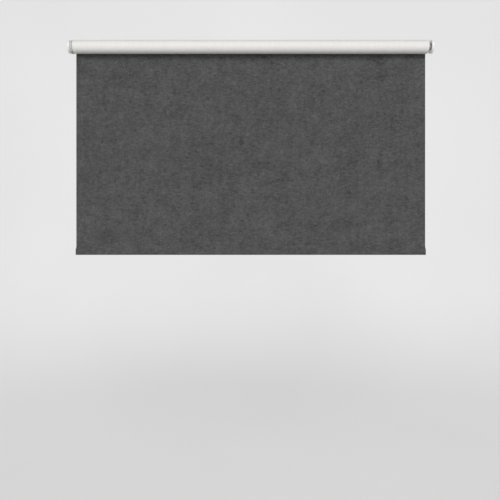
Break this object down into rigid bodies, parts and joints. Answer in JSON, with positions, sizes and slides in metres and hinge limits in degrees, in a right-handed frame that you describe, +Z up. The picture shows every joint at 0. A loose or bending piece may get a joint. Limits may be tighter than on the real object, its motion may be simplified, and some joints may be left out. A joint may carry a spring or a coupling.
{
  "type": "roller blind",
  "caption": "Roller blind for a window recess: blackout cloth on a motor-driven tube between two round side brackets, with a weighted hem bar.",
  "frame": {"origin": "on the roller's axis, half way between the two brackets' outer faces", "axes": "+X along the roller towards the idle end, +Y towards the window, -Y into the room, +Z up"},
  "size_m": [1.2, 0.0476, 0.7097],
  "materials": {
    "zinc_steel": "zinc plated",
    "white_plastic": "moulded, slightly glossy",
    "grey_plastic": "moulded, satin",
    "black_plastic": "moulded, satin",
    "clear_plastic": "clear light pipe",
    "grey_rubber": "matt",
    "spring_steel": "bright drawn wire",
    "aluminium": "extruded, clear anodised",
    "brass": "machined",
    "cell_wrap": "shrunk film",
    "circuit_board": "lacquered",
    "adhesive_tape": "clear film",
    "blackout_cloth": "charcoal woven face",
    "cloth_backing": "off-white foamed acrylic backing"
  },
  "bodies": {
    "fixed": {"motor_bracket": "zinc_steel", "motor_bracket_cover": "white_plastic", "idle_bracket": "zinc_steel", "idle_bracket_cover": "white_plastic", "motor_head": "grey_plastic", "charge_socket": "zinc_steel", "status_light": "clear_plastic", "motor_casing": "aluminium", "battery_cell_1": "cell_wrap", "battery_cell_2": "cell_wrap", "battery_cell_3": "cell_wrap", "control_board": "circuit_board", "dc_motor": "zinc_steel", "reduction_unit": "zinc_steel", "ring_gear": "brass", "output_bush": "black_plastic", "fabric_drop": "blackout_cloth"},
    "roller": {"roller_tube": "aluminium", "crown_ring": "grey_plastic", "drive_wheel": "black_plastic", "planet_carrier": "zinc_steel", "shaft_clip": "spring_steel", "idle_plug": "grey_plastic", "idle_spring_cap": "black_plastic", "idle_spring": "spring_steel", "fabric_tape": "adhesive_tape", "fabric_roll": "cloth_backing"},
    "bar": {"bottom_bar": "aluminium", "hem_pocket": "blackout_cloth", "bar_end_cap_left": "black_plastic", "bar_end_cap_right": "black_plastic"},
    "idle_pin": {"idle_pin": "zinc_steel"},
    "button": {"program_button": "white_plastic"},
    "port_cap": {"charge_port_cap": "grey_rubber"},
    "sun": {"sun_gear": "brass"},
    "planet_1": {"planet_gear_1": "brass"},
    "planet_2": {"planet_gear_2": "brass"},
    "planet_3": {"planet_gear_3": "brass"}
  },
  "joints": [
    {"name": "bar_lift", "type": "slide", "parent": "fixed", "child": "bar", "axis": [0, 0, 1], "range_m": [-0.69, 0.632], "deforming": ["fabric_drop"]},
    {"name": "roller_spin", "type": "hinge", "parent": "fixed", "child": "roller", "pos_m": [0, 0, 0], "axis": [1, 0, 0], "range_deg": [-1857.4, 1701.3]},
    {"name": "sun_spin", "type": "hinge", "parent": "fixed", "child": "sun", "pos_m": [-0.138, 0, 0], "axis": [1, 0, 0], "range_deg": [-7429.8, 6805.2]},
    {"name": "planet_spin_1", "type": "hinge", "parent": "roller", "child": "planet_1", "pos_m": [-0.1348, 0.006, 0], "axis": [1, 0, 0], "range_deg": [-5103.9, 5572.3]},
    {"name": "planet_spin_2", "type": "hinge", "parent": "roller", "child": "planet_2", "pos_m": [-0.1348, -0.003, 0.0052], "axis": [1, 0, 0], "range_deg": [-5103.9, 5572.3]},
    {"name": "planet_spin_3", "type": "hinge", "parent": "roller", "child": "planet_3", "pos_m": [-0.1348, -0.003, -0.0052], "axis": [1, 0, 0], "range_deg": [-5103.9, 5572.3]},
    {"name": "idle_pin_slide", "type": "slide", "parent": "roller", "child": "idle_pin", "axis": [1, 0, 0], "range_m": [-0.009, 0], "stiffness_N_per_m": 400, "springref_m": 0.008, "deforming": ["idle_spring"]},
    {"name": "program_button_press", "type": "slide", "parent": "fixed", "child": "button", "axis": [0, -0.6282, -0.7781], "range_m": [-0.0007, 0], "stiffness_N_per_m": 900, "springref_m": 0.0006},
    {"name": "charge_cap_open", "type": "hinge", "parent": "fixed", "child": "port_cap", "pos_m": [-0.58905, 0.00922, -0.01909], "axis": [1, 0, 0], "range_deg": [0, 95]}
  ],
  "couplings": [
    {"joint": "roller_spin", "follows": "bar_lift", "rad_per_m": 46.062},
    {"joint": "sun_spin", "follows": "bar_lift", "rad_per_m": 184.25},
    {"joint": "planet_spin_1", "follows": "bar_lift", "rad_per_m": -138.19},
    {"joint": "planet_spin_2", "follows": "bar_lift", "rad_per_m": -138.19},
    {"joint": "planet_spin_3", "follows": "bar_lift", "rad_per_m": -138.19}
  ]
}
